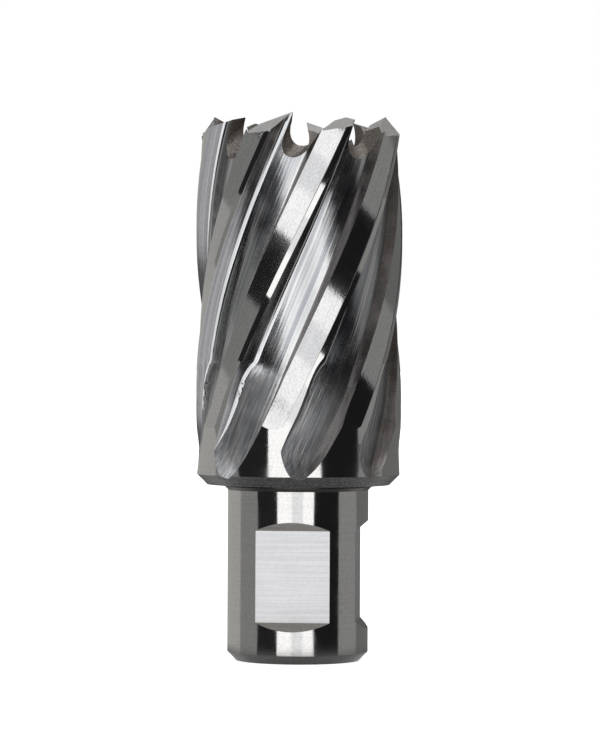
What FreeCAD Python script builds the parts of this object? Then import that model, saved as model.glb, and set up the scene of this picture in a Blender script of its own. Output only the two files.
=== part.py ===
import FreeCAD, Part
import math
import os
import re
import Sketcher

# An annular cutter, one solid of ground tool steel, in millimetres.
# The shank's end face stands on the ground plane and the teeth point up along +Z.
# The order of features is the maker's: a turned blank, a bore, two clamping flats, then
# helical flutes and lands that run out towards the collar, gullets and tooth tips.

# Sizes, each written once
sizes = {
    # Shank
    "shank_diameter": 19.05,
    "shank_length": 23.75,
    "shank_chamfer": 1.2,
    "pilot_pin_diameter": 6.35,
    "pilot_clearance": 0.1,
    "pilot_chamfer": 0.6,
    "flat_depth": 1.395,
    "flat_start": 5.56,
    "flat_length": 12.24,
    "flat_ramp_angle": 50,
    "seat_ring_width": 0.6,
    "seat_ring_height": 0.25,
    "seat_cone_height": 0.45,
    # Body of the cutter, measured from the collar's underside
    "cutter_diameter": 28,
    "cutter_length": 49.75,
    "back_taper_depth": 0.12,
    "collar_step_depth": 0.25,
    "collar_chamfer": 1.4,
    "collar_height": 5.75,
    "collar_blend": 2,
    "wall_thickness": 4.5,
    "bore_depth": 43,
    "bore_corner": 0.8,
    # Teeth, in pairs of two different tips
    "tooth_pairs": 4,
    "helix_lead": 179.6,
    "first_tooth_angle": -96.3,
    # Flute, as the wheel's form in the plane across the helix
    "flute_stop": 14.75,
    "flute_lag": 26,
    "floor_depth": 1.9,
    "floor_width": 3.72,
    "floor_rise": 0.9,
    "floor_crown": 14.6,
    "flank_width": 0.74,
    "flank_rise": 0.6,
    "front_wall_angle": 42.2,
    "heel_wall_angle": 23.5,
    # Land behind each margin
    "land_wheel_radius": 30,
    "land_runout_angle": 40,
    "land_stop": 11,
    "land_lag": -9.7,
    "land_depth": 0.22,
    "land_relief_angle": 9,
    "land_half_width": 1.36,
    "land_overlap": 1.1,
    "land_wall_angle": 30,
    # Gullet through the wall in front of each tooth
    "gullet_lag": 15.8,
    "gullet_depth": 5.59,
    "gullet_inset": 2.6,
    "gullet_radius": 2.1,
    "gullet_face_radius": 1.6,
    "gullet_face_taper": 10,
    "gullet_sweep": 27,
    "gullet_rise": 30.5,
    "gullet_lean": 31.4,
    "gullet_opening": 13,
    # Tips
    "tip_lag": 6.3,
    "tip_length": 6.5,
    "relief_angle": 16,
    "outer_relief_angle": 23.4,
    "first_tip_inset": 2.4,
    "first_tip_outer_drop": 1.36,
    "first_tip_inner_drop": 1,
    "second_tip_drop": 0.4,
    "second_tip_outer_drop": 1.1,
    # How far a cutting shape reaches past the metal
    "overcut": 3,
}

# The flute's way out of the metal, at stations below its stop: how far its root and the front
# corner of its floor have lifted and moved forward there, and the share of the flank that is left
flute_exit = [
    {
        "drop": 6.5,
        "root_lift": 0,
        "root_shift": 0.05,
        "floor_lift": 0.81,
        "floor_shift": 0.69,
        "flank_share": 0.53,
    },
    {
        "drop": 10,
        "root_lift": 0,
        "root_shift": 0.3,
        "floor_lift": 1.21,
        "floor_shift": 1.04,
        "flank_share": 0.22,
    },
    {
        "drop": 12.3,
        "root_lift": 0.34,
        "root_shift": 0.66,
        "floor_lift": 1.75,
        "floor_shift": 1.48,
        "flank_share": 0.03,
    },
    {
        "drop": 14.6,
        "root_lift": 1.37,
        "root_shift": 1.4,
        "floor_lift": 2.64,
        "floor_shift": 1.48,
        "flank_share": 0.03,
    },
]
for station, values in enumerate(flute_exit, start=1):
    sizes.update({f"exit{station}_{name}": value for name, value in values.items()})

doc = FreeCAD.newDocument("annular_cutter")
sheet = doc.addObject("Spreadsheet::Sheet", "sizes")
for row, (alias, value) in enumerate(sizes.items(), start=1):
    sheet.set(f"A{row}", alias)
    sheet.set(f"B{row}", str(value))
    sheet.setAlias(f"B{row}", alias)
doc.recompute()

body = doc.addObject("PartDesign::Body", "cutter_body")
body.Label = "cutter_body"


def origin_part(role):
    """The body's own plane or axis of this name."""
    return next(item for item in body.Origin.OriginFeatures if item.Role == role)


def bind(item, name, text):
    """Ties a property to an expression in which the sizes are named without their sheet."""
    item.setExpression(name, re.sub(r"[a-z]\w+", in_sheet, text))


def in_sheet(word):
    return "sizes." + word[0] if word[0] in sizes else word[0]


def number(text):
    return float(sheet.evalExpression(text))


def arc_between(start, end, radius, side):
    """The short arc from start to end, with its centre on the left for side 1 and right for -1."""
    chord = end - start
    across = FreeCAD.Vector(-chord.y, chord.x, 0).normalize()
    reach = math.sqrt(radius**2 - (chord.Length / 2) ** 2)
    centre = (start + end) / 2 + across * reach * side
    first, last = (start, end) if side > 0 else (end, start)
    from_angle = math.atan2(first.y - centre.y, first.x - centre.x)
    to_angle = math.atan2(last.y - centre.y, last.x - centre.x)
    circle = Part.Circle(centre, FreeCAD.Vector(0, 0, 1), radius)
    return Part.ArcOfCircle(circle, from_angle, to_angle)


def profile(name, plane, corners, arcs=(), offset=None):
    """A closed sketch whose corners are pairs of expressions.

    arcs maps the number of a corner to the radius and side of the arc that leaves it.
    """
    sketch = body.newObject("Sketcher::SketchObject", name)
    sketch.AttachmentSupport = (origin_part(plane), [""])
    sketch.MapMode = "FlatFace"
    if offset:
        bind(sketch, "AttachmentOffset", offset)
    arcs = dict(arcs)
    spots = [FreeCAD.Vector(number(across), number(up), 0) for across, up in corners]
    ends = []
    for edge, start in enumerate(spots):
        end = spots[(edge + 1) % len(spots)]
        if edge in arcs:
            radius, side = arcs[edge]
            sketch.addGeometry(arc_between(start, end, number(radius), side), False)
            ends.append((1, 2) if side > 0 else (2, 1))
        else:
            sketch.addGeometry(Part.LineSegment(start, end), False)
            ends.append((1, 2))
    for edge, (head, tail) in enumerate(ends):
        after = (edge + 1) % len(ends)
        sketch.addConstraint(Sketcher.Constraint("Coincident", edge, tail, after, ends[after][0]))
        for kind, text in zip(("DistanceX", "DistanceY"), corners[edge]):
            rule = Sketcher.Constraint(kind, -1, 1, edge, head, number(text))
            bind(sketch, f"Constraints[{sketch.addConstraint(rule)}]", text)
    for edge, (radius, side) in arcs.items():
        rule = Sketcher.Constraint("Radius", edge, number(radius))
        bind(sketch, f"Constraints[{sketch.addConstraint(rule)}]", radius)
    return sketch


def feature(kind, name, sketch, **values):
    """A PartDesign feature on a sketch, with faces left as made."""
    item = body.newObject("PartDesign::" + kind, name)
    item.Profile = sketch
    item.Refine = False
    for key, value in values.items():
        if isinstance(value, str) and key not in ("SideType", "Mode"):
            bind(item, key, value)
        else:
            setattr(item, key, value)
    return item


def polar_pattern(name, originals, angle, occurrences):
    """Repeats features around the cutter's axis."""
    item = body.newObject("PartDesign::PolarPattern", name)
    item.Originals = originals
    item.Axis = (origin_part("Z_Axis"), [""])
    item.Refine = False
    bind(item, "Angle", angle)
    bind(item, "Occurrences", occurrences)
    body.Tip = item
    return item


# Heights and radii that several features share
z_axis = (origin_part("Z_Axis"), [""])
height = "(shank_length + cutter_length)"
shank_radius = "shank_diameter / 2"
cutter_radius = "cutter_diameter / 2"
collar_radius = f"({cutter_radius} - collar_step_depth)"
bore_radius = f"({cutter_radius} - wall_thickness)"
bore_floor = f"({height} - bore_depth)"
pilot_radius = "(pilot_pin_diameter + pilot_clearance) / 2"
ring_radius = f"({shank_radius} + seat_ring_width)"
flat_end = "(flat_start + flat_length)"

# Turned blank. The shank's line is split at the ends of the flats, so that the wall
# between the flats and the whole bands beyond them stay faces of their own.
blank_profile = profile(
    "blank_profile",
    "XZ_Plane",
    [
        ("0", "0"),
        (f"{shank_radius} - shank_chamfer", "0"),
        (shank_radius, "shank_chamfer"),
        (shank_radius, "flat_start"),
        (shank_radius, flat_end),
        (shank_radius, "shank_length - seat_ring_height - seat_cone_height"),
        (f"{shank_radius} + seat_cone_height", "shank_length - seat_ring_height"),
        (ring_radius, "shank_length - seat_ring_height"),
        (ring_radius, "shank_length"),
        (f"{collar_radius} - collar_chamfer", "shank_length"),
        (collar_radius, "shank_length + collar_chamfer"),
        (collar_radius, "shank_length + collar_height"),
        (f"{cutter_radius} - back_taper_depth", "shank_length + collar_height + collar_blend"),
        (cutter_radius, height),
        ("0", height),
    ],
)
blank = feature("Revolution", "blank", blank_profile, ReferenceAxis=(blank_profile, ["V_Axis"]))

# Slug bore from the toothed end, and the pilot pin's hole through the shank
bore_profile = profile(
    "bore_profile",
    "XZ_Plane",
    [
        ("0", "-overcut"),
        (f"{pilot_radius} + pilot_chamfer + overcut", "-overcut"),
        (pilot_radius, "pilot_chamfer"),
        (pilot_radius, bore_floor),
        (f"{bore_radius} - bore_corner", bore_floor),
        (bore_radius, f"{bore_floor} + bore_corner"),
        (bore_radius, f"{height} + overcut"),
        ("0", f"{height} + overcut"),
    ],
)
bores = feature("Groove", "bores", bore_profile, ReferenceAxis=(bore_profile, ["V_Axis"]))

# Two clamping flats at a right angle, with ramps at both ends
ramp_reach = "(flat_depth + overcut) / tan(flat_ramp_angle)"
flat_profile = profile(
    "flat_profile",
    "YZ_Plane",
    [
        (f"flat_depth - {shank_radius}", "flat_start"),
        (f"flat_depth - {shank_radius}", flat_end),
        (f"-{shank_radius} - overcut", f"{flat_end} + {ramp_reach}"),
        (f"-{shank_radius} - overcut", f"flat_start - {ramp_reach}"),
    ],
)
flat = feature("Pocket", "flat", flat_profile, Length="shank_diameter", Midplane=True)
flats = polar_pattern("flats", [flat], "90", "2")

# Flutes and lands. Each form lies in a plane across the helix at the height where it stops,
# and is swept up along the helix from there.
helix_angle = "atan(pi * cutter_diameter / helix_lead)"


def turned_to(lag, station):
    """The angle of a line that keeps this lag ahead of the first tooth, at a height."""
    return f"(first_tooth_angle + {lag} - 360 * ({height} - {station}) / helix_lead)"


def form_across_helix(name, corners, lag, stop, arcs=()):
    """A grinding form in the plane across the helix at the height of its stop."""
    turn = (
        f"rotation(vector(0; 0; 1); {turned_to(lag, stop)})"
        f" * rotation(vector(1; 0; 0); -{helix_angle})"
    )
    return profile(name, "XY_Plane", corners, arcs, f"placement(vector(0; 0; {stop}); {turn})")


def ground_along_helix(name, form, stop):
    """Sweeps a form from its stop up past the teeth."""
    return feature(
        "SubtractiveHelix",
        name,
        form,
        ReferenceAxis=z_axis,
        Mode="pitch-height-angle",
        Pitch="helix_lead",
        Height=f"{height} - {stop} + 3 * overcut",
    )


outside = f"({cutter_radius} + overcut)"
junction = f"({cutter_radius} - floor_depth)"


def flute_form_at(name, drop="0", root=("0", "0"), floor=("0", "0"), flank_share="1", flatter="1"):
    """The flute's form at its stop, or lower with its root and floor lifted and moved forward."""
    root_radius = f"({junction} + {root[0]})"
    floor_radius = f"({junction} - floor_rise + {floor[0]})"
    flank_radius = f"({floor_radius} + flank_rise * {flank_share})"
    front = f"(-floor_width - {floor[1]} - flank_width * {flank_share})"
    corners = [
        (root_radius, f"-{root[1]}"),
        (outside, f"({outside} - {root_radius}) * tan(heel_wall_angle) - {root[1]}"),
        (outside, f"{front} - ({outside} - {flank_radius}) * tan(front_wall_angle)"),
        (flank_radius, front),
        (floor_radius, f"-floor_width - {floor[1]}"),
    ]
    crown = {4: (f"floor_crown * {flatter}", 1)}
    return form_across_helix(name, corners, "flute_lag", f"({flute_stop_height} - {drop})", crown)


# Each flute comes down along the helix to its stop, and below it rises out of the metal
flute_stop_height = "(shank_length + flute_stop)"
flute_form = flute_form_at("flute_form")
flute = ground_along_helix("flute", flute_form, flute_stop_height)
exit_forms = []
for station, _ in enumerate(flute_exit, start=1):
    place = f"exit{station}_"
    exit_form = flute_form_at(
        f"flute_exit_form_{station}",
        drop=place + "drop",
        root=(place + "root_lift", place + "root_shift"),
        floor=(place + "floor_lift", place + "floor_shift"),
        flank_share=place + "flank_share",
        flatter=f"2 ^ {station}",
    )
    exit_forms.append(exit_form)
flute_exit_cut = feature("SubtractiveLoft", "flute_exit", flute_form, Sections=exit_forms)

# Each land is relieved by a wheel, which runs out near the collar on its own radius: the form
# is also turned down about the wheel's axis, a construction line in its sketch
land_stop_height = "(shank_length + land_stop)"
land_floor = f"({cutter_radius} - land_depth)"
land_heel = f"({land_floor} - (2 * land_half_width + land_overlap) * tan(land_relief_angle))"
land_form = form_across_helix(
    "land_form",
    [
        (land_floor, "land_half_width"),
        (land_heel, "-land_half_width - land_overlap"),
        (outside, "-land_half_width - land_overlap"),
        (outside, f"land_half_width + ({outside} - {land_floor}) * tan(land_wall_angle)"),
    ],
    "land_lag",
    land_stop_height,
)
axis_place = f"{cutter_radius} + land_wheel_radius"
land_axis = land_form.addGeometry(
    Part.LineSegment(
        FreeCAD.Vector(number(axis_place), 0, 0),
        FreeCAD.Vector(number(axis_place), number("overcut"), 0),
    ),
    True,
)
land_form.addConstraint(Sketcher.Constraint("PointOnObject", land_axis, 1, -1))
land_form.addConstraint(Sketcher.Constraint("Vertical", land_axis))
for rule, text in (
    (Sketcher.Constraint("DistanceY", land_axis, 1, land_axis, 2, number("overcut")), "overcut"),
    (Sketcher.Constraint("DistanceX", -1, 1, land_axis, 1, number(axis_place)), axis_place),
):
    bind(land_form, f"Constraints[{land_form.addConstraint(rule)}]", text)
land = ground_along_helix("land", land_form, land_stop_height)
land_runout = feature(
    "Groove",
    "land_runout",
    land_form,
    ReferenceAxis=(land_form, ["Axis0"]),
    Angle="land_runout_angle",
    Reversed=True,
)
flutes = polar_pattern(
    "flutes", [flute, flute_exit_cut, land, land_runout], "360", "2 * tooth_pairs"
)

# Gullets. The sketch faces out along the channel, which rises inwards through the wall.
gullet_foot = f"({height} - gullet_depth)"
gullet_azimuth = turned_to("gullet_lag", gullet_foot)
mouth_radius = f"({cutter_radius} - gullet_inset)"
gullet_turn = (
    f"rotation(vector(0; 1; 0); {gullet_azimuth} - gullet_sweep)"
    " * rotation(vector(1; 0; 0); gullet_rise) * rotation(vector(0; 0; 1); -gullet_lean)"
)
gullet_place = (
    f"vector({mouth_radius} * sin({gullet_azimuth}); {gullet_foot};"
    f" {mouth_radius} * cos({gullet_azimuth}))"
)
gullet_top = "(gullet_depth + 2 * overcut)"


def gullet_form_at(name, reach):
    """The gullet's form this far inwards along its channel, which widens on the face's side."""
    face = f"(gullet_face_radius + {reach} * tan(gullet_face_taper))"
    side = f"gullet_radius + {gullet_top} * tan(gullet_opening)"
    along = f"placement(vector(0; 0; -{reach}); rotation(vector(0; 0; 1); 0))"
    return profile(
        name,
        "YZ_Plane",
        [
            (f"-{face}", face),
            ("0", "0"),
            ("gullet_radius", "gullet_radius"),
            (side, f"gullet_radius + {gullet_top}"),
            (f"-{face}", f"gullet_radius + {gullet_top}"),
        ],
        arcs={0: (face, 1), 1: ("gullet_radius", 1)},
        offset=f"placement({gullet_place}; {gullet_turn}) * {along}",
    )


gullet_mouth = gullet_form_at("gullet_mouth", "(-overcut)")
gullet_inside = gullet_form_at("gullet_inside", "(wall_thickness + overcut)")
gullet = feature("SubtractiveLoft", "gullet", gullet_mouth, Sections=[gullet_inside], Ruled=True)
gullets = polar_pattern("gullets", [gullet], "360", "2 * tooth_pairs")


def tooth_tips(name, corners, tooth, relief="relief_angle"):
    """Grinds every second tooth's tip to a radial outline that falls away behind the edge."""
    azimuth = f"first_tooth_angle + tip_lag + {tooth} * 180 / tooth_pairs"
    turn = f"rotation(vector(0; 1; 0); {azimuth}) * rotation(vector(1; 0; 0); {relief})"
    outline = profile(
        name + "_outline", "XZ_Plane", corners, offset=f"placement(vector(0; {height}; 0); {turn})"
    )
    tip = feature("Pocket", name + "_tip", outline, Length="2 * tip_length", Midplane=True)
    return polar_pattern(name + "_tips", [tip], "360", "tooth_pairs")


def slope(radius, origin, fall, width):
    """How high a tip's straight line stands at this radius, falling outwards from its origin."""
    return f"({origin} - {radius}) * ({fall}) / ({width})"


# The first tip has a crest in mid-wall, and the second slopes outwards from the bore
crest = f"({cutter_radius} - first_tip_inset)"
inside = f"({bore_radius} - overcut)"
above = "2 * overcut"
first_inner_tips = tooth_tips(
    "first_inner",
    [
        (outside, slope(outside, crest, "-first_tip_inner_drop", "wall_thickness - first_tip_inset")),
        (outside, above),
        (inside, above),
        (inside, slope(inside, crest, "-first_tip_inner_drop", "wall_thickness - first_tip_inset")),
    ],
    "0",
)
first_outer_tips = tooth_tips(
    "first_outer",
    [
        (outside, slope(outside, crest, "first_tip_outer_drop", "first_tip_inset")),
        (outside, above + " + overcut"),
        (inside, above + " + overcut"),
        (inside, slope(inside, crest, "first_tip_outer_drop", "first_tip_inset")),
    ],
    "0",
    "outer_relief_angle",
)
second_fall = "second_tip_outer_drop - second_tip_drop"
second_tips = tooth_tips(
    "second",
    [
        (inside, slope(inside, bore_radius, second_fall, "wall_thickness") + " - second_tip_drop"),
        (outside, slope(outside, bore_radius, second_fall, "wall_thickness") + " - second_tip_drop"),
        (outside, above),
        (inside, above),
    ],
    "1",
)
doc.recompute()

for item in doc.Objects:
    if "Invalid" in item.State or "Error" in item.State:
        raise ValueError(f"{item.Name} did not build: {item.State}")
shape = body.Shape
if shape.isNull() or not shape.isValid() or len(shape.Solids) != 1:
    raise ValueError("the cutter is not one valid solid")
os.makedirs("parts", exist_ok=True)
shape.exportStep("parts/cutter_body.step")
box = shape.optimalBoundingBox()
print(f"cutter_body {box.XLength:.2f} x {box.YLength:.2f} x {box.ZLength:.2f} mm")
print(f"volume {shape.Volume:.0f} mm3, {len(shape.Faces)} faces")
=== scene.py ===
import math
import bmesh
import bpy
from mathutils import Matrix, Vector


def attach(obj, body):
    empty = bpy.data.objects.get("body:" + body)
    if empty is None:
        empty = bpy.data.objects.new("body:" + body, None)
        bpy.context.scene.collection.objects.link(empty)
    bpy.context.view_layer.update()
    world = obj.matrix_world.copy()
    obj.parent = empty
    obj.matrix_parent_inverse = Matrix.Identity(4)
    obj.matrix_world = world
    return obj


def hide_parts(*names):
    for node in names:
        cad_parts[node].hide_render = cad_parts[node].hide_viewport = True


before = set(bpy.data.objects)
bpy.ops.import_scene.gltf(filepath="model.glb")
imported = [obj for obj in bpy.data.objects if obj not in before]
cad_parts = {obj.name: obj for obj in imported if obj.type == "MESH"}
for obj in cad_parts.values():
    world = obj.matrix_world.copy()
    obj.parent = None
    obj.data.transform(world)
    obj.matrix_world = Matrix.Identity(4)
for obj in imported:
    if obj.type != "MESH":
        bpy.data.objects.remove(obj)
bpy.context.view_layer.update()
scene = bpy.context.scene
print("frame loaded:", sorted(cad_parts))


# Camera, level and long-lensed, as the cutter was photographed
cameraSet = {
    "turn": 5.0,            # degrees round the cutter, towards the second flat
    "distance": 0.506,
    "height": 0.0424,
    "lens": 180.4,          # millimetres, like the sensor
    "sensor": 36,
    "clip": (0.05, 20),
    "roll": 0.28,           # degrees, the cutter leans a little in the picture
    "shiftX": 0.0015,
    "shiftY": -0.0346,
}


def makeCamera(s):
    data = bpy.data.cameras.new("photoCamera")
    data.lens = s["lens"]
    data.sensor_width = s["sensor"]
    data.shift_x = s["shiftX"]
    data.shift_y = s["shiftY"]
    data.clip_start, data.clip_end = s["clip"]
    camera = bpy.data.objects.new("photoCamera", data)
    scene.collection.objects.link(camera)
    turn = math.radians(s["turn"])
    back = Vector((math.sin(turn), -math.cos(turn), 0))
    camera.location = back * s["distance"] + Vector((0, 0, s["height"]))
    look = (-back).to_track_quat("-Z", "Y").to_matrix().to_4x4()
    lean = Matrix.Rotation(math.radians(s["roll"]), 4, "Z")
    camera.matrix_world = Matrix.Translation(camera.location) @ look @ lean
    scene.camera = camera


makeCamera(cameraSet)
print("camera placed")


# Small helpers for materials
def newMaterial(name):
    material = bpy.data.materials.new(name)
    material.use_nodes = True
    tree = material.node_tree
    tree.nodes.clear()
    out = tree.nodes.new("ShaderNodeOutputMaterial")
    return material, tree, out


def addNode(tree, kind, inputs=None, **settings):
    node = tree.nodes.new("ShaderNode" + kind)
    for key, value in settings.items():
        setattr(node, key, value)
    for key, value in (inputs or {}).items():
        if isinstance(value, bpy.types.NodeSocket):
            tree.links.new(value, node.inputs[key])
        else:
            node.inputs[key].default_value = value
    return node


def addRamp(tree, fac, stops):
    node = addNode(tree, "ValToRGB", {"Fac": fac})
    ramp = node.color_ramp
    while len(ramp.elements) < len(stops):
        ramp.elements.new(0.5)          # every stop gets its place below
    for element, (place, grey) in zip(ramp.elements, stops):
        element.position = place
        colour = grey if isinstance(grey, tuple) else (grey, grey, grey)
        element.color = (*colour, 1)
    return node.outputs["Color"]


# Steel. Each finish has the colour of its ridges, the shade of its troughs, the range of its
# roughness and the marks that its tool left. lay says how these run: round the axis, along the
# helix, level over a flat, or crossed, with no one direction. fine and long are how many marks
# there are in a metre across and along the lay, and grain is how many specks. marks and mottle
# are how strongly the two stand out, and speck is how much of the colour follows the specks.
helixLead = 0.1796              # metres of height for one full turn of the teeth

steel = {
    "markDetail": 2.0,
    "markRoughness": 0.6,
    "markDepth": 0.00003,
    "grainDetail": 2.0,
    "grainDepth": 0.00002,
    "cloud": 260.0,             # patches of higher roughness in a metre
    "cloudDetail": 3.0,
    "colourSpan": (0.38, 0.62),
    "roughSpan": (0.35, 0.65),
}

finishes = {
    "groundShank": {
        "lay": "round", "colour": (0.82, 0.815, 0.805), "shade": (0.73, 0.72, 0.705),
        "rough": (0.07, 0.13), "fine": 9000, "long": 40, "marks": 0.05,
        "grain": 3000, "mottle": 0.12, "speck": 0.6,
    },
    "groundCollar": {
        "lay": "round", "colour": (0.82, 0.815, 0.805), "shade": (0.73, 0.72, 0.705),
        "rough": (0.07, 0.13), "fine": 9000, "long": 40, "marks": 0.05,
        "grain": 3000, "mottle": 0.12, "speck": 0.6,
    },
    # The collar's lower chamfer: its dark colour is painted shade, standing for the shaded floor
    # it reflects
    "turnedChamferPaintedShade": {
        "lay": "round", "colour": (0.19, 0.19, 0.19), "shade": (0.085, 0.085, 0.083),
        "rough": (0.40, 0.55), "fine": 6000, "long": 60, "marks": 0.20,
        "grain": 4000, "mottle": 0.30, "speck": 0.7,
    },
    # The shank's end chamfer: its dark colour is painted shade, standing for the shaded floor at
    # the foot
    "turnedEndPaintedShade": {
        "lay": "round", "colour": (0.11, 0.108, 0.106), "shade": (0.065, 0.064, 0.063),
        "rough": (0.28, 0.40), "fine": 6000, "long": 60, "marks": 0.15,
        "grain": 4000, "mottle": 0.20, "speck": 0.5,
    },
    # The collar's underside, the seat and the shank's flat ends: the near-black colour is painted
    # shade under the collar
    "turnedSeatPaintedShade": {
        "lay": "round", "colour": (0.11, 0.105, 0.10), "shade": (0.06, 0.055, 0.05),
        "rough": (0.30, 0.42), "fine": 7000, "long": 50, "marks": 0.15,
        "grain": 4000, "mottle": 0.10, "speck": 0.5,
    },
    "turnedBore": {
        "lay": "round", "colour": (0.35, 0.33, 0.31), "shade": (0.26, 0.24, 0.22),
        "rough": (0.35, 0.50), "fine": 6000, "long": 50, "marks": 0.20,
        "grain": 3000, "mottle": 0.10, "speck": 0.4,
    },
    "polishedMargin": {
        "lay": "round", "colour": (0.82, 0.815, 0.805), "shade": (0.75, 0.74, 0.725),
        "rough": (0.04, 0.09), "fine": 9000, "long": 80, "marks": 0.02,
        "grain": 4000, "mottle": 0.04, "speck": 0.5,
    },
    "groundFloor": {
        "lay": "helix", "colour": (0.80, 0.80, 0.80), "shade": (0.44, 0.455, 0.485),
        "rough": (0.17, 0.27), "fine": 2600, "long": 7, "marks": 0.95,
        "grain": 5000, "mottle": 0.03, "speck": 0.1,
        # Where the wheel left the flute: its foot's height, its top's and the extra roughness
        "runOut": (0.034, 0.041, 0.15),
    },
    "frontWall": {
        "lay": "helix", "colour": (0.38, 0.38, 0.39), "shade": (0.23, 0.23, 0.245),
        "rough": (0.14, 0.24), "fine": 2800, "long": 9, "marks": 0.30,
        "grain": 4000, "mottle": 0.10, "speck": 0.2,
    },
    "heelWall": {
        "lay": "helix", "colour": (0.36, 0.34, 0.33), "shade": (0.20, 0.185, 0.18),
        "rough": (0.22, 0.34), "fine": 2800, "long": 9, "marks": 0.30,
        "grain": 4000, "mottle": 0.10, "speck": 0.2,
    },
    "satinLand": {
        "lay": "helix", "colour": (0.77, 0.77, 0.77), "shade": (0.64, 0.64, 0.645),
        "rough": (0.08, 0.13), "fine": 5000, "long": 200, "marks": 0.04,
        "grain": 3600, "mottle": 0.28, "speck": 0.6,
    },
    "groundFlank": {
        "lay": "helix", "colour": (0.80, 0.80, 0.81), "shade": (0.66, 0.67, 0.69),
        "rough": (0.10, 0.16), "fine": 3000, "long": 8, "marks": 0.20,
        "grain": 4000, "mottle": 0.04, "speck": 0.1,
    },
    "milledGullet": {
        "lay": "crossed", "colour": (0.47, 0.44, 0.41), "shade": (0.22, 0.195, 0.17),
        "rough": (0.42, 0.56), "fine": 3500, "long": 3500, "marks": 0.35,
        "grain": 3000, "mottle": 0.10, "speck": 0.4,
    },
    "relievedTip": {
        "lay": "level", "colour": (0.86, 0.855, 0.85), "shade": (0.76, 0.755, 0.75),
        "rough": (0.54, 0.60), "fine": 6000, "long": 200, "marks": 0.10,
        "grain": 3500, "mottle": 0.10, "speck": 0.5,
    },
    "groundFlat": {
        "lay": "level", "colour": (0.86, 0.86, 0.87), "shade": (0.74, 0.74, 0.75),
        "rough": (0.38, 0.41), "fine": 6000, "long": 70, "marks": 0.25,
        "grain": 3000, "mottle": 0.10, "speck": 0.3,
    },
    "milledRamp": {
        "lay": "level", "colour": (0.58, 0.56, 0.535), "shade": (0.42, 0.40, 0.375),
        "rough": (0.34, 0.46), "fine": 6000, "long": 120, "marks": 0.20,
        "grain": 3000, "mottle": 0.15, "speck": 0.4,
    },
}


def layCoordinates(tree, place, s):
    scale = (s["long"], s["long"], s["fine"])
    if s["lay"] == "helix":
        scale = (s["fine"], s["fine"], s["long"])
        height = addNode(tree, "SeparateXYZ", {0: place}).outputs["Z"]
        turn = addNode(tree, "Math", {0: height, 1: -math.tau / helixLead}, operation="MULTIPLY")
        unwind = {"Vector": place, "Angle": turn.outputs[0]}
        place = addNode(tree, "VectorRotate", unwind, rotation_type="Z_AXIS").outputs[0]
    return addNode(tree, "Mapping", {"Vector": place, "Scale": scale}).outputs[0]


def addNoise(tree, place, scale, detail, roughness=0.5):
    inputs = {"Vector": place, "Scale": scale, "Detail": detail, "Roughness": roughness}
    return addNode(tree, "TexNoise", inputs).outputs["Fac"]


def addRange(tree, value, start, end, low=0.0, high=1.0):
    inputs = {"Value": value, "From Min": start, "From Max": end, "To Min": low, "To Max": high}
    return addNode(tree, "MapRange", inputs).outputs[0]


def addBump(tree, height, strength, depth, **normal):
    inputs = {"Height": height, "Strength": strength, "Distance": depth, **normal}
    return addNode(tree, "Bump", inputs).outputs[0]


def makeFinish(name, s):
    material, tree, out = newMaterial(name)
    place = addNode(tree, "TexCoord").outputs["Object"]
    lay = layCoordinates(tree, place, s)
    marks = addNoise(tree, lay, 1.0, steel["markDetail"], steel["markRoughness"])
    grain = addNoise(tree, place, s["grain"], steel["grainDetail"])
    cloud = addNoise(tree, place, steel["cloud"], steel["cloudDetail"])
    both = addNode(tree, "Mix", {"Factor": s["speck"], "A": marks, "B": grain}).outputs["Result"]
    ridge = addRange(tree, both, *steel["colourSpan"])
    colour = addRamp(tree, ridge, [(0.0, s["shade"]), (1.0, s["colour"])])
    rough = addRange(tree, cloud, *steel["roughSpan"], *s["rough"])
    if "runOut" in s:
        foot, top, extra = s["runOut"]
        height = addNode(tree, "SeparateXYZ", {0: place}).outputs["Z"]
        more = addRange(tree, height, foot, top, extra, 0.0)
        rough = addNode(tree, "Math", {0: rough, 1: more}, operation="ADD").outputs[0]
    bump = addBump(tree, marks, s["marks"], steel["markDepth"])
    bump = addBump(tree, grain, s["mottle"], steel["grainDepth"], Normal=bump)
    look = {"Base Color": colour, "Metallic": 1.0, "Roughness": rough, "Normal": bump}
    shader = addNode(tree, "BsdfPrincipled", look)
    tree.links.new(shader.outputs[0], out.inputs["Surface"])
    return material


materials = {name: makeFinish(name, s) for name, s in finishes.items()}
print("finishes made:", len(materials))


# The cutter itself: the CAD solid with its faces joined, so that each gets the finish of
# the tool that made it. Radii and heights are where one finish gives way to the next.
cutter = {
    "shankTop": 0.02376,
    "collarFoot": 0.0252,
    "collarTop": 0.0296,
    "shankRadius": 0.009525,
    "seatRise": 0.0001,          # the seat stands out from the shank by more than this
    "collarRadius": 0.01376,
    "boreRadius": 0.0096,
    "pilotRadius": 0.004,
    "endChamfer": 0.0013,
    "floorRadius": 0.0125,       # the flute's floor starts below this
    "landRadius": 0.01345,       # and the land below this
    "tipDepth": 0.0045,
    "gulletDepth": 0.0085,
    # How far a face of each kind looks up, outwards or ahead round the axis
    "flatEnd": 0.9,
    "ramp": 0.05,
    "underside": -0.95,
    "tip": 0.75,
    "roundSide": 0.99,
    "heel": -0.5,
    "flank": 0.5,
    "front": 0.78,
    # How the faces are joined and smoothed
    "join": 0.0000015,
    "smoothAngle": 24.0,
    "filletFoot": 0.0335,        # height where the flutes' fillets begin
    "filletFade": 0.002,
}


def cadFaces(bm):
    # The CAD solid comes as loose faces, so each connected patch is one of its faces
    left = set(bm.faces)
    while left:
        start = left.pop()
        patch, rim = [start], [start]
        while rim:
            for loop in rim.pop().loops:
                for other in loop.edge.link_faces:
                    if other in left:
                        left.remove(other)
                        patch.append(other)
                        rim.append(other)
        yield patch


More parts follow.
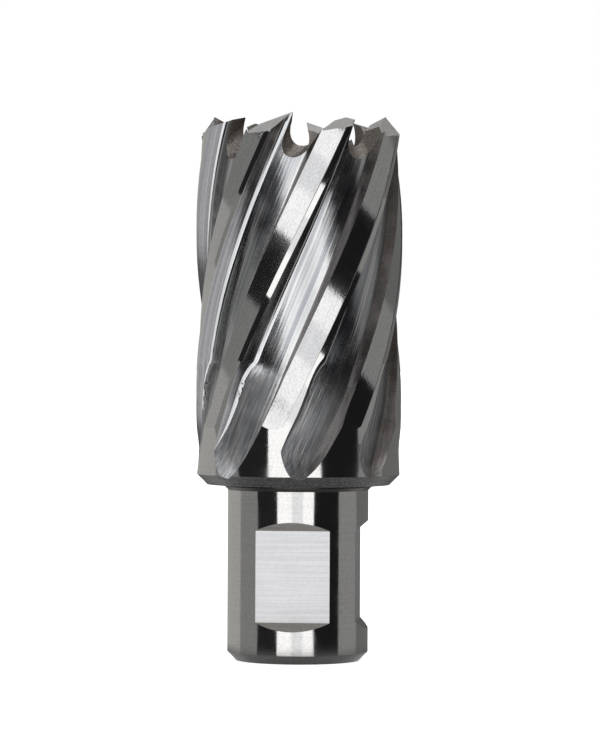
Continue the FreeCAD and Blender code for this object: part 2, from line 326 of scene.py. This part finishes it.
def measure(patch):
    # How far the face looks outwards, up and ahead round the axis, and where it lies
    area = sum(face.calc_area() for face in patch)
    out = up = ahead = 0.0
    for face in patch:
        middle = face.calc_center_median()
        spoke = Vector((middle.x, middle.y, 0)).normalized()
        share = face.calc_area() / area
        out += face.normal.dot(spoke) * share
        up += face.normal.z * share
        ahead += face.normal.dot(Vector((-spoke.y, spoke.x, 0))) * share
    points = [vert.co for face in patch for vert in face.verts]
    radii = [math.hypot(point.x, point.y) for point in points]
    heights = [point.z for point in points]
    return {
        "out": out, "up": up, "ahead": ahead, "inner": min(radii), "outer": max(radii),
        "low": min(heights), "high": max(heights),
    }


def shankFinish(form, s):
    if abs(form["up"]) > s["flatEnd"] or form["outer"] > s["shankRadius"] + s["seatRise"]:
        return "turnedSeatPaintedShade"
    if abs(form["up"]) > s["ramp"]:
        return "turnedEndPaintedShade" if form["high"] < s["endChamfer"] else "milledRamp"
    return "groundShank" if form["out"] > s["roundSide"] else "groundFlat"


def fluteFinish(form, s):
    if form["ahead"] < s["heel"]:
        return "heelWall"
    if form["ahead"] > s["front"]:
        return "frontWall"
    if form["ahead"] > s["flank"]:
        return "groundFlank"
    if form["inner"] < s["floorRadius"]:
        return "groundFloor"
    return "satinLand" if form["inner"] < s["landRadius"] else "polishedMargin"


def finishOf(patch, top, s):
    form = measure(patch)
    inBore = form["outer"] < s["boreRadius"] and form["low"] > s["shankTop"]
    if form["outer"] < s["pilotRadius"] or inBore:
        return "turnedBore"
    if form["high"] < s["shankTop"]:
        return shankFinish(form, s)
    if form["high"] < s["collarFoot"]:
        return "turnedSeatPaintedShade" if form["up"] < s["underside"] else "turnedChamferPaintedShade"
    if form["high"] < s["collarTop"] and form["outer"] < s["collarRadius"]:
        return "groundCollar"
    if form["low"] > top - s["tipDepth"] and form["up"] > s["tip"]:
        return "relievedTip"
    if form["low"] > top - s["gulletDepth"]:
        return "milledGullet"
    return fluteFinish(form, s)


def roundFlanks(mesh, names, s):
    # The narrow flank between a flute's floor and its front wall is a fillet: its corners take
    # the normals of the two faces beside it, down to where it thins out at the collar
    flank = names.index("groundFlank")
    sides = (names.index("groundFloor"), names.index("frontWall"))
    normals = [corner.vector.copy() for corner in mesh.corner_normals]
    beside = {}
    for face in mesh.polygons:
        if face.material_index in sides:
            for corner in face.loop_indices:
                vert = mesh.loops[corner].vertex_index
                beside[vert] = beside.get(vert, Vector()) + normals[corner] * face.area
    for face in mesh.polygons:
        if face.material_index != flank:
            continue
        for corner in face.loop_indices:
            vert = mesh.loops[corner].vertex_index
            if vert in beside:
                share = (mesh.vertices[vert].co.z - s["filletFoot"]) / s["filletFade"]
                share = min(max(share, 0), 1)
                rounded = normals[corner].lerp(beside[vert].normalized(), share)
                normals[corner] = rounded.normalized()
    mesh.normals_split_custom_set(normals)


def makeCutter(node, s):
    names = list(materials)
    bm = bmesh.new()
    bm.from_mesh(node.data)
    top = max(v.co.z for v in bm.verts)
    for patch in list(cadFaces(bm)):
        index = names.index(finishOf(patch, top, s))
        for face in patch:
            face.material_index = index
            face.smooth = True
    bmesh.ops.remove_doubles(bm, verts=bm.verts, dist=s["join"])
    bmesh.ops.dissolve_degenerate(bm, edges=bm.edges, dist=s["join"])
    limit = math.radians(s["smoothAngle"])
    for edge in bm.edges:        # crisp wherever one finish meets another
        oneFinish = len({face.material_index for face in edge.link_faces}) == 1
        edge.smooth = oneFinish and edge.calc_face_angle(0) < limit
    mesh = bpy.data.meshes.new("annularCutter")
    bm.to_mesh(mesh)
    bm.free()
    for name in names:
        mesh.materials.append(materials[name])
    roundFlanks(mesh, names, s)
    piece = bpy.data.objects.new("annularCutter", mesh)
    scene.collection.objects.link(piece)
    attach(piece, "root")
    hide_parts("cutter_body")
    return piece


annularCutter = makeCutter(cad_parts["cutter_body"], cutter)
print("cutter made:", len(annularCutter.data.polygons), "faces")


# Studio: a white room with bright, grey and dark cards round the cutter, which only its
# reflections show. Each card has its start and end in degrees round from the camera's side,
# its lowest and highest elevation seen from the cutter, and its colour.
studio = {
    "radius": 1.2,
    "cards": {
        "softLeft": (-34, -10, -29, 34, (1.22, 1.22, 1.22)),
        "softSeam": (-10, 8, -29, 34, (0.95, 0.955, 0.97)),
        "softRight": (8, 26, -29, 34, (1.22, 1.22, 1.22)),
        "darkRight": (26, 70, -29, 34, (0.011, 0.011, 0.012)),
        "darkLeft": (-70, -34, -29, 14, (0.016, 0.016, 0.017)),
        "greyLeft": (-108, -70, -42, 34, (0.22, 0.22, 0.215)),
        "greyRight": (70, 110, -29, 34, (0.25, 0.25, 0.245)),
        "backRight": (110, 180, -29, 34, (0.15, 0.15, 0.147)),
        "backLeft": (180, 252, -29, 34, (0.38, 0.375, 0.36)),
        "hood": (-180, 180, 34, 58, (0.085, 0.078, 0.070)),
    },
    "cardSteps": 48,
    # The floor that the cutter shades, its greys outwards and its fade
    "footRadius": 0.034,
    "footGreys": [(0.0, 0.75), (0.36, 0.75), (0.41, 0.12)],
    "footFade": (0.45, 1.0),
    "footHeight": 0.00005,
    "footSides": 64,
    # The floor and the room, which light the cutter and fill the picture
    "floorRadius": 6.0,
    "floorSides": 96,
    "floorGlow": 0.75,
    "floorWhite": 0.8,
    "roomLight": 0.9,
}


def makeGlow(name, colour):
    material, tree, out = newMaterial(name)
    glow = addNode(tree, "Emission", {"Color": (*colour, 1), "Strength": 1.0})
    tree.links.new(glow.outputs[0], out.inputs["Surface"])
    return material


def makeFootShade(s):
    # What the polished steel sees below it: floor that the collar shades, thinning out
    material, tree, out = newMaterial("footShade")
    place = addNode(tree, "TexCoord").outputs["Object"]
    away = addNode(tree, "VectorMath", {0: place}, operation="LENGTH").outputs["Value"]
    share = addNode(tree, "Math", {0: away, 1: s["footRadius"]}, operation="DIVIDE").outputs[0]
    grey = addRamp(tree, share, s["footGreys"])
    glow = addNode(tree, "Emission", {"Color": grey, "Strength": 1.0})
    fade = addRange(tree, share, *s["footFade"])
    clear = addNode(tree, "BsdfTransparent")
    both = addNode(tree, "MixShader", {0: fade, 1: glow.outputs[0], 2: clear.outputs[0]})
    tree.links.new(both.outputs[0], out.inputs["Surface"])
    return material


def addCard(name, bm, material):
    mesh = bpy.data.meshes.new(name)
    bm.to_mesh(mesh)
    bm.free()
    mesh.materials.append(material)
    card = bpy.data.objects.new(name, mesh)
    scene.collection.objects.link(card)
    card.visible_camera = False
    card.visible_diffuse = False
    card.visible_shadow = False


def makeCards(s):
    for name, (start, end, low, high, colour) in s["cards"].items():
        bm = bmesh.new()
        first = math.radians(start - 90 + cameraSet["turn"])
        x, y = s["radius"] * math.cos(first), s["radius"] * math.sin(first)
        rises = [s["radius"] * math.tan(math.radians(angle)) for angle in (low, high)]
        bm.edges.new([bm.verts.new((x, y, cameraSet["height"] + rise)) for rise in rises])
        bmesh.ops.spin(
            bm, geom=bm.verts[:] + bm.edges[:], cent=(0, 0, 0), axis=(0, 0, 1),
            angle=math.radians(end - start), steps=s["cardSteps"], use_merge=end - start == 360,
        )
        addCard(name, bm, makeGlow(name, colour))
    bm = bmesh.new()
    bmesh.ops.create_circle(bm, cap_ends=True, segments=s["footSides"], radius=s["footRadius"])
    bmesh.ops.translate(bm, verts=bm.verts[:], vec=(0, 0, s["footHeight"]))
    addCard("footShade", bm, makeFootShade(s))


def addSeen(tree):
    # 1 for rays from the camera and for those that steel or glass sends on, 0 for lighting
    rays = addNode(tree, "LightPath").outputs
    inputs = {0: rays["Is Camera Ray"], 1: rays["Is Glossy Ray"]}
    seen = addNode(tree, "Math", inputs, operation="ADD").outputs[0]
    inputs = {0: seen, 1: rays["Is Transmission Ray"]}
    return addNode(tree, "Math", inputs, operation="ADD", use_clamp=True).outputs[0]


def makeRoom(s):
    world = bpy.data.worlds.new("whiteRoom")
    world.use_nodes = True
    tree = world.node_tree
    tree.nodes.clear()
    out = tree.nodes.new("ShaderNodeOutputWorld")
    light = addNode(tree, "Background", {"Color": (1, 1, 1, 1), "Strength": s["roomLight"]})
    white = addNode(tree, "Background", {"Color": (1, 1, 1, 1), "Strength": 1.0})
    both = addNode(tree, "MixShader", {0: addSeen(tree), 1: light.outputs[0], 2: white.outputs[0]})
    tree.links.new(both.outputs[0], out.inputs["Surface"])
    scene.world = world


def makeFloor(s):
    bm = bmesh.new()
    bmesh.ops.create_circle(bm, cap_ends=True, segments=s["floorSides"], radius=s["floorRadius"])
    mesh = bpy.data.meshes.new("floor")
    bm.to_mesh(mesh)
    bm.free()
    material, tree, out = newMaterial("paleFloor")
    glow = addNode(tree, "Math", {0: addSeen(tree), 1: s["floorGlow"]}, operation="MULTIPLY")
    pale = addNode(tree, "BsdfDiffuse", {"Color": (s["floorWhite"],) * 3 + (1,)})
    white = addNode(tree, "Emission", {"Color": (1, 1, 1, 1), "Strength": glow.outputs[0]})
    both = addNode(tree, "AddShader", {0: pale.outputs[0], 1: white.outputs[0]})
    tree.links.new(both.outputs[0], out.inputs["Surface"])
    mesh.materials.append(material)
    floor = bpy.data.objects.new("floor", mesh)
    scene.collection.objects.link(floor)
    floor.visible_glossy = False


makeCards(studio)
makeRoom(studio)
makeFloor(studio)
scene.view_settings.view_transform = "Standard"
print("studio built")
